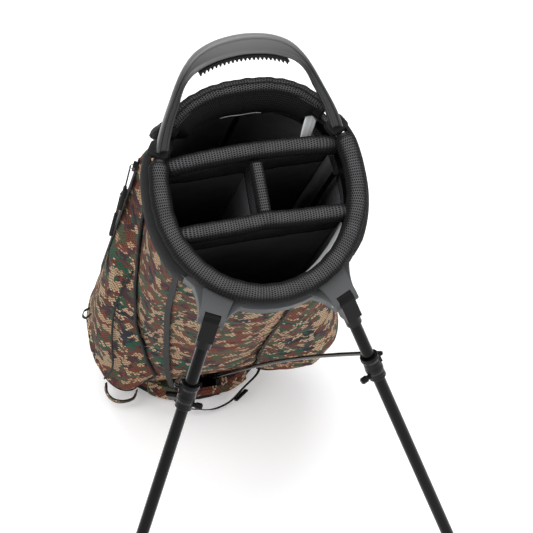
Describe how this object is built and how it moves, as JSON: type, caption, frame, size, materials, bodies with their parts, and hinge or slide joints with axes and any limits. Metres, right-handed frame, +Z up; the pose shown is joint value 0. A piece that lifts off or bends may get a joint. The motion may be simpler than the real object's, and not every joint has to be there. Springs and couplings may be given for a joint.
{
  "type": "golf stand bag",
  "caption": "Camouflage golf stand bag on a hinged foot plate and two splayed legs, with padded divider rim, carry handle, side pockets and shoulder strap.",
  "frame": {"origin": "centre of the foot plate's flat underside, on the bag's middle plane", "axes": "+Z up; the bag leans towards -Y, where its legs are; +X is the ball pocket's side"},
  "size_m": [0.61, 0.8197, 0.8805],
  "materials": {
    "camo_fabric": "digital camouflage print on woven polyester",
    "black_fabric": "woven nylon",
    "webbing": "woven webbing",
    "air_mesh": "padded spacer mesh",
    "black_plastic": "fine moulded grain",
    "grey_plastic": "fine moulded grain",
    "handle_plastic": "satin",
    "black_rubber": "matte",
    "gloss_black": "gloss black paint",
    "steel": "plain",
    "label_cloth": "printed tape without lettering"
  },
  "bodies": {
    "foot": {"foot_sole_plate": "black_rubber", "foot_toe_cover": "camo_fabric", "rod_saddle": "black_plastic", "foot_hinge_pin": "steel"},
    "bag": {"apparel_pocket": "camo_fabric", "apparel_zip_track": "black_fabric", "bag_body_shell": "camo_fabric", "ball_pocket": "camo_fabric", "ball_zip_track": "black_fabric", "base_cup": "black_plastic", "bottom_grab_loop": "camo_fabric", "carry_handle": "handle_plastic", "collar_frame": "black_plastic", "divider_bar_front": "air_mesh", "divider_bar_middle": "air_mesh", "divider_bar_rear": "air_mesh", "divider_sheet_front": "black_fabric", "divider_sheet_middle": "black_fabric", "divider_sheet_rear": "black_fabric", "handle_grip_insert": "black_rubber", "handle_sleeve_left": "black_fabric", "handle_sleeve_right": "black_fabric", "hip_pad": "air_mesh", "leg_pivot_pin_left": "steel", "leg_pivot_pin_right": "steel", "leg_yoke": "grey_plastic", "lower_strap": "webbing", "rim_care_label": "label_cloth", "rim_pad_front": "air_mesh", "rim_pad_rear": "air_mesh", "shoulder_strap": "air_mesh", "side_strap": "webbing", "side_strap_buckle": "black_plastic", "side_strap_keeper": "black_plastic", "side_webbing_loop": "black_fabric", "stay_left": "black_plastic", "stay_rear": "black_plastic", "stay_right": "black_plastic", "strap_adjuster": "black_plastic"},
    "leg_left": {"leg_left_knuckle": "black_plastic", "leg_left_tube": "gloss_black", "leg_left_rod_clamp": "black_plastic", "leg_left_clamp_peg": "black_plastic", "leg_left_foot": "black_rubber"},
    "leg_right": {"leg_right_knuckle": "black_plastic", "leg_right_tube": "gloss_black", "leg_right_rod_clamp": "black_plastic", "leg_right_clamp_peg": "black_plastic", "leg_right_foot": "black_rubber"},
    "push_rod_left": {"push_rod_left": "gloss_black"},
    "push_rod_right": {"push_rod_right": "gloss_black"},
    "apparel_zip_upper": {"apparel_zip_upper_slider": "black_plastic", "apparel_zip_upper_pull": "black_rubber"},
    "apparel_zip_lower": {"apparel_zip_lower_slider": "black_plastic", "apparel_zip_lower_pull": "black_rubber"},
    "ball_zip": {"ball_zip_slider": "black_plastic", "ball_zip_pull": "black_rubber"}
  },
  "joints": [
    {"name": "bag_tilt", "type": "hinge", "parent": "foot", "child": "bag", "pos_m": [0, 0.04932, 0.004], "axis": [-1, 0, 0], "range_deg": [0, 35.2]},
    {"name": "leg_left_fold", "type": "hinge", "parent": "bag", "child": "leg_left", "pos_m": [-0.0775, -0.51585, 0.6317], "axis": [0.9063, -0.3454, -0.2436], "range_deg": [0, 48.41]},
    {"name": "push_rod_left_swing", "type": "hinge", "parent": "leg_left", "child": "push_rod_left", "pos_m": [-0.12298, -0.52711, 0.54416], "axis": [-0.9223, 0.3583, 0.1449], "range_deg": [0, 56.6]},
    {"name": "leg_right_fold", "type": "hinge", "parent": "bag", "child": "leg_right", "pos_m": [0.0775, -0.51585, 0.6317], "axis": [0.9063, 0.3454, 0.2436], "range_deg": [0, 48.41]},
    {"name": "push_rod_right_swing", "type": "hinge", "parent": "leg_right", "child": "push_rod_right", "pos_m": [0.12298, -0.52711, 0.54416], "axis": [-0.9223, -0.3583, -0.1449], "range_deg": [0, 56.6]},
    {"name": "apparel_zip_upper_slide", "type": "slide", "parent": "bag", "child": "apparel_zip_upper", "axis": [-0.0636, 0.4641, -0.8835], "range_m": [0, 0.055]},
    {"name": "apparel_zip_lower_slide", "type": "slide", "parent": "bag", "child": "apparel_zip_lower", "axis": [-0.0636, 0.4641, -0.8835], "range_m": [0, 0.245]},
    {"name": "ball_zip_slide", "type": "slide", "parent": "bag", "child": "ball_zip", "axis": [0.197, 0.5651, -0.8011], "range_m": [0, 0.1]}
  ],
  "couplings": [
    {"joint": "leg_left_fold", "follows": "bag_tilt", "ratio": 1.3753},
    {"joint": "push_rod_left_swing", "follows": "bag_tilt", "ratio": 1.6079},
    {"joint": "leg_right_fold", "follows": "bag_tilt", "ratio": 1.3753},
    {"joint": "push_rod_right_swing", "follows": "bag_tilt", "ratio": 1.6079}
  ]
}
